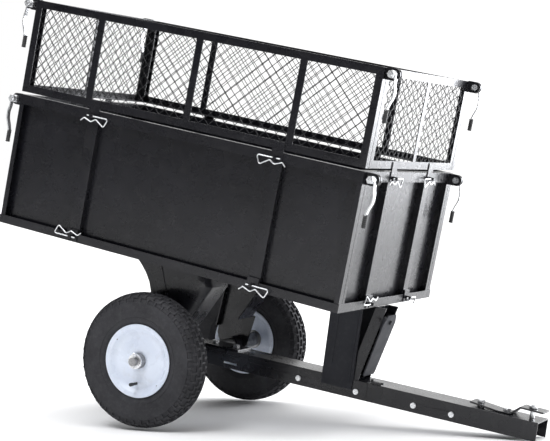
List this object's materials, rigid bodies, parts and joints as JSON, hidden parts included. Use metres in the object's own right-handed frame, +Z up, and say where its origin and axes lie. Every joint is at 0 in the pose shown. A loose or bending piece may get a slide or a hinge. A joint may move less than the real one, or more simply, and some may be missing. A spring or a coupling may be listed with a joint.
{
  "type": "tow behind cart",
  "caption": "Two-wheeled tipping cart with removable steel panels, mesh side extensions, latch levers, spring clips and a drawbar tongue with a pin hitch.",
  "frame": {"origin": "centre of the footprint, on the ground that the tyres and the tip of the tongue stand on", "axes": "+X forward towards the hitch, +Y to the left, +Z up"},
  "size_m": [1.3236, 0.65, 1.0351],
  "materials": {
    "black_powder_coat": "semi-gloss powder coat",
    "white_rim": "gloss paint",
    "tyre_rubber": "matt rubber",
    "black_rubber": "matt rubber",
    "grey_steel": "plain steel",
    "bright_zinc": "bright zinc plate"
  },
  "bodies": {
    "chassis": {"tongue_rear": "black_powder_coat", "tongue_front": "black_powder_coat", "tongue_splice": "black_powder_coat", "tongue_bolts": "bright_zinc", "axle_saddle": "black_powder_coat", "upright_bolts": "bright_zinc", "axle": "grey_steel", "axle_spacers": "grey_steel", "axle_washers": "bright_zinc", "cotter_pins": "bright_zinc", "stand": "black_powder_coat", "release_post": "black_powder_coat", "lever_pivot": "black_powder_coat", "lever_keeper": "black_powder_coat", "hitch_plate": "black_powder_coat"},
    "release_lever": {"release_lever": "black_powder_coat"},
    "hitch_pin": {"hitch_pin": "bright_zinc"},
    "left_wheel": {"left_tyre": "tyre_rubber", "left_rim": "white_rim", "left_hub": "grey_steel", "left_valve": "black_rubber"},
    "right_wheel": {"right_tyre": "tyre_rubber", "right_rim": "white_rim", "right_hub": "grey_steel", "right_valve": "black_rubber"},
    "bed": {"left_floor": "black_powder_coat", "right_floor": "black_powder_coat", "seam_strip": "black_powder_coat", "floor_bolts": "bright_zinc", "left_leg": "black_powder_coat", "right_leg": "black_powder_coat", "left_panel": "black_powder_coat", "right_panel": "black_powder_coat", "left_ribs": "black_powder_coat", "right_ribs": "black_powder_coat", "left_mesh_frame": "black_powder_coat", "right_mesh_frame": "black_powder_coat", "left_screen": "black_powder_coat", "right_screen": "black_powder_coat", "floor_clips": "bright_zinc", "side_clips": "bright_zinc", "latch_bolts": "bright_zinc"},
    "tailgate": {"tailgate": "black_powder_coat", "tailgate_ribs": "black_powder_coat", "tailgate_clips": "bright_zinc"},
    "front_panel": {"front_panel": "black_powder_coat", "front_ribs": "black_powder_coat", "front_clips": "bright_zinc"},
    "tailgate_mesh": {"tailgate_mesh_frame": "black_powder_coat", "tailgate_screen": "black_powder_coat"},
    "front_mesh": {"front_mesh_frame": "black_powder_coat", "front_screen": "black_powder_coat"},
    "rear_left_low_latch": {"rear_left_low_latch": "bright_zinc"},
    "rear_left_high_latch": {"rear_left_high_latch": "bright_zinc"},
    "rear_right_low_latch": {"rear_right_low_latch": "bright_zinc"},
    "rear_right_high_latch": {"rear_right_high_latch": "bright_zinc"},
    "front_left_low_latch": {"front_left_low_latch": "bright_zinc"},
    "front_left_high_latch": {"front_left_high_latch": "bright_zinc"},
    "front_right_low_latch": {"front_right_low_latch": "bright_zinc"},
    "front_right_high_latch": {"front_right_high_latch": "bright_zinc"}
  },
  "joints": [
    {"name": "bed_tip", "type": "hinge", "parent": "chassis", "child": "bed", "pos_m": [-0.2378, 0, 0.165], "axis": [0, -1, 0], "range_deg": [0, 45]},
    {"name": "left_wheel_spin", "type": "hinge", "parent": "chassis", "child": "left_wheel", "pos_m": [-0.2378, 0.27, 0.165], "axis": [0, 1, 0], "continuous": true},
    {"name": "right_wheel_spin", "type": "hinge", "parent": "chassis", "child": "right_wheel", "pos_m": [-0.2378, -0.27, 0.165], "axis": [0, 1, 0], "continuous": true},
    {"name": "release_lever_swing", "type": "hinge", "parent": "chassis", "child": "release_lever", "pos_m": [0.26411, 0, 0.26031], "axis": [0, -1, 0], "range_deg": [0, 25], "stiffness_Nm_per_rad": 1.5, "springref_deg": -11.46},
    {"name": "hitch_pin_lift", "type": "slide", "parent": "chassis", "child": "hitch_pin", "axis": [0.1592, 0, 0.9872], "range_m": [0, 0.06]},
    {"name": "tailgate_lift", "type": "slide", "parent": "bed", "child": "tailgate", "axis": [0.2072, 0, 0.9783], "range_m": [0, 0.2]},
    {"name": "front_panel_lift", "type": "slide", "parent": "bed", "child": "front_panel", "axis": [0.2072, 0, 0.9783], "range_m": [0, 0.2]},
    {"name": "tailgate_mesh_lift", "type": "slide", "parent": "tailgate", "child": "tailgate_mesh", "axis": [0.2072, 0, 0.9783], "range_m": [0, 0.26]},
    {"name": "front_mesh_lift", "type": "slide", "parent": "front_panel", "child": "front_mesh", "axis": [0.2072, 0, 0.9783], "range_m": [0, 0.26]},
    {"name": "rear_left_low_latch_swing", "type": "hinge", "parent": "bed", "child": "rear_left_low_latch", "pos_m": [-0.60294, 0.276, 0.79127], "axis": [0, 1, 0], "range_deg": [0, 150]},
    {"name": "rear_left_high_latch_swing", "type": "hinge", "parent": "bed", "child": "rear_left_high_latch", "pos_m": [-0.55424, 0.276, 1.02117], "axis": [0, 1, 0], "range_deg": [0, 150]},
    {"name": "rear_right_low_latch_swing", "type": "hinge", "parent": "bed", "child": "rear_right_low_latch", "pos_m": [-0.60294, -0.276, 0.79127], "axis": [0, 1, 0], "range_deg": [0, 150]},
    {"name": "rear_right_high_latch_swing", "type": "hinge", "parent": "bed", "child": "rear_right_high_latch", "pos_m": [-0.55424, -0.276, 1.02117], "axis": [0, 1, 0], "range_deg": [0, 150]},
    {"name": "front_left_low_latch_swing", "type": "hinge", "parent": "bed", "child": "front_left_low_latch", "pos_m": [0.34992, 0.276, 0.58942], "axis": [0, -1, 0], "range_deg": [0, 150]},
    {"name": "front_left_high_latch_swing", "type": "hinge", "parent": "bed", "child": "front_left_high_latch", "pos_m": [0.39862, 0.276, 0.81932], "axis": [0, -1, 0], "range_deg": [0, 150]},
    {"name": "front_right_low_latch_swing", "type": "hinge", "parent": "bed", "child": "front_right_low_latch", "pos_m": [0.34992, -0.276, 0.58942], "axis": [0, -1, 0], "range_deg": [0, 150]},
    {"name": "front_right_high_latch_swing", "type": "hinge", "parent": "bed", "child": "front_right_high_latch", "pos_m": [0.39862, -0.276, 0.81932], "axis": [0, -1, 0], "range_deg": [0, 150]}
  ]
}
